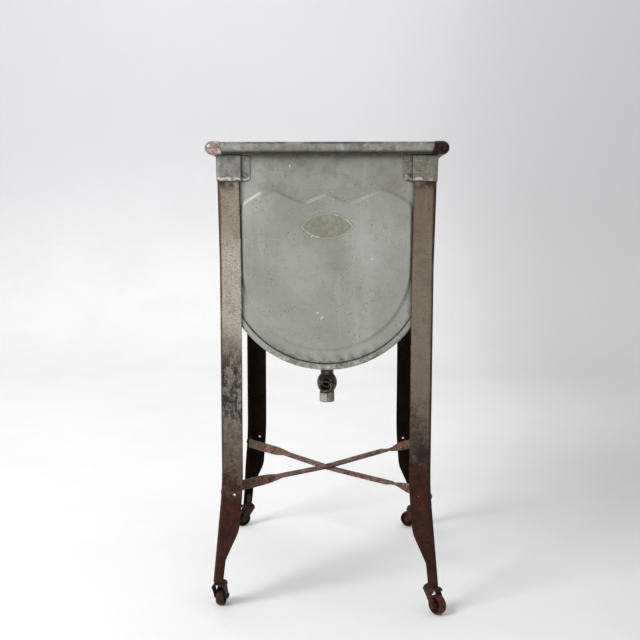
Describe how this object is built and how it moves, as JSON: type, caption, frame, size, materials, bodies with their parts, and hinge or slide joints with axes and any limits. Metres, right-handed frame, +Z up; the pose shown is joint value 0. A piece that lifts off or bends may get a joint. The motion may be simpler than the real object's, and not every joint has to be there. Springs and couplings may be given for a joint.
{
  "type": "parts washer tank",
  "caption": "Open sheet-steel wash tank with a rounded bottom and rolled rim, on an angle-leg stand with a crossed brace, swivel casters and a drain valve under the front.",
  "frame": {"origin": "on the floor, under the middle of the tub", "axes": "+Z up, -Y towards the front end panel and the drain valve, +X to the right seen from the front"},
  "size_m": [0.4667, 0.5285, 0.8913],
  "materials": {
    "galvanised": "dull galvanised, mottled",
    "cap_pink": "worn, brown with a metallic sheen",
    "cap_brown": "dark, rusted",
    "socket_grey": "scratched galvanised",
    "leg_paint": "worn paint over rust",
    "brace_rust": "rusted",
    "gasket_rubber": "matt",
    "valve_bronze": "dark and worn bright on edges",
    "caster_rust": "dark rust",
    "wheel_steel": "dark rust"
  },
  "bodies": {
    "tub_and_stand": {"tub_shell": "galvanised", "end_panel_front": "galvanised", "end_panel_rear": "galvanised", "corner_cap_fr": "cap_brown", "corner_cap_rr": "cap_brown", "corner_cap_rl": "cap_brown", "corner_cap_fl": "cap_pink", "leg_socket_fl": "socket_grey", "leg_socket_fr": "socket_grey", "leg_socket_rl": "socket_grey", "leg_socket_rr": "socket_grey", "socket_rivets": "socket_grey", "leg_fl": "leg_paint", "leg_fr": "leg_paint", "leg_rl": "leg_paint", "leg_rr": "leg_paint", "brace_bar_lower": "brace_rust", "brace_bar_upper": "brace_rust", "brace_rivet": "brace_rust", "brace_bolts": "brace_rust", "brace_nuts": "brace_rust", "drain_gasket": "gasket_rubber", "drain_flange": "valve_bronze", "drain_locknut": "valve_bronze", "valve_body": "valve_bronze", "caster_sleeve_fl": "caster_rust", "caster_sleeve_fr": "caster_rust", "caster_sleeve_rl": "caster_rust", "caster_sleeve_rr": "caster_rust"},
    "valve_plug": {"valve_plug": "valve_bronze", "valve_hex": "valve_bronze"},
    "caster_fl": {"caster_stem_fl": "caster_rust", "caster_fork_fl": "caster_rust", "caster_axle_fl": "caster_rust"},
    "wheel_fl": {"caster_wheel_fl": "wheel_steel"},
    "caster_fr": {"caster_stem_fr": "caster_rust", "caster_fork_fr": "caster_rust", "caster_axle_fr": "caster_rust"},
    "wheel_fr": {"caster_wheel_fr": "wheel_steel"},
    "caster_rl": {"caster_stem_rl": "caster_rust", "caster_fork_rl": "caster_rust", "caster_axle_rl": "caster_rust"},
    "wheel_rl": {"caster_wheel_rl": "wheel_steel"},
    "caster_rr": {"caster_stem_rr": "caster_rust", "caster_fork_rr": "caster_rust", "caster_axle_rr": "caster_rust"},
    "wheel_rr": {"caster_wheel_rr": "wheel_steel"}
  },
  "joints": [
    {"name": "caster_fl_swivel", "type": "hinge", "parent": "tub_and_stand", "child": "caster_fl", "pos_m": [-0.2052, -0.2386, 0.06], "axis": [0, 0, 1], "continuous": true},
    {"name": "wheel_fl_spin", "type": "hinge", "parent": "caster_fl", "child": "wheel_fl", "pos_m": [-0.20363, -0.22368, 0.0185], "axis": [-0.9945, 0.1045, 0], "continuous": true},
    {"name": "caster_fr_swivel", "type": "hinge", "parent": "tub_and_stand", "child": "caster_fr", "pos_m": [0.2052, -0.2386, 0.06], "axis": [0, 0, 1], "continuous": true},
    {"name": "wheel_fr_spin", "type": "hinge", "parent": "caster_fr", "child": "wheel_fr", "pos_m": [0.21423, -0.25058, 0.0185], "axis": [0.7986, 0.6018, 0], "continuous": true},
    {"name": "caster_rl_swivel", "type": "hinge", "parent": "tub_and_stand", "child": "caster_rl", "pos_m": [-0.2052, 0.2386, 0.06], "axis": [0, 0, 1], "continuous": true},
    {"name": "wheel_rl_spin", "type": "hinge", "parent": "caster_rl", "child": "wheel_rl", "pos_m": [-0.21792, 0.23065, 0.0185], "axis": [0.5299, -0.848, 0], "continuous": true},
    {"name": "caster_rr_swivel", "type": "hinge", "parent": "tub_and_stand", "child": "caster_rr", "pos_m": [0.2052, 0.2386, 0.06], "axis": [0, 0, 1], "continuous": true},
    {"name": "wheel_rr_spin", "type": "hinge", "parent": "caster_rr", "child": "wheel_rr", "pos_m": [0.1915, 0.2447, 0.0185], "axis": [-0.4067, -0.9135, 0], "continuous": true},
    {"name": "valve_turn", "type": "hinge", "parent": "tub_and_stand", "child": "valve_plug", "pos_m": [0, -0.158, 0.42], "axis": [0, 0, 1], "range_deg": [0, 90]}
  ]
}
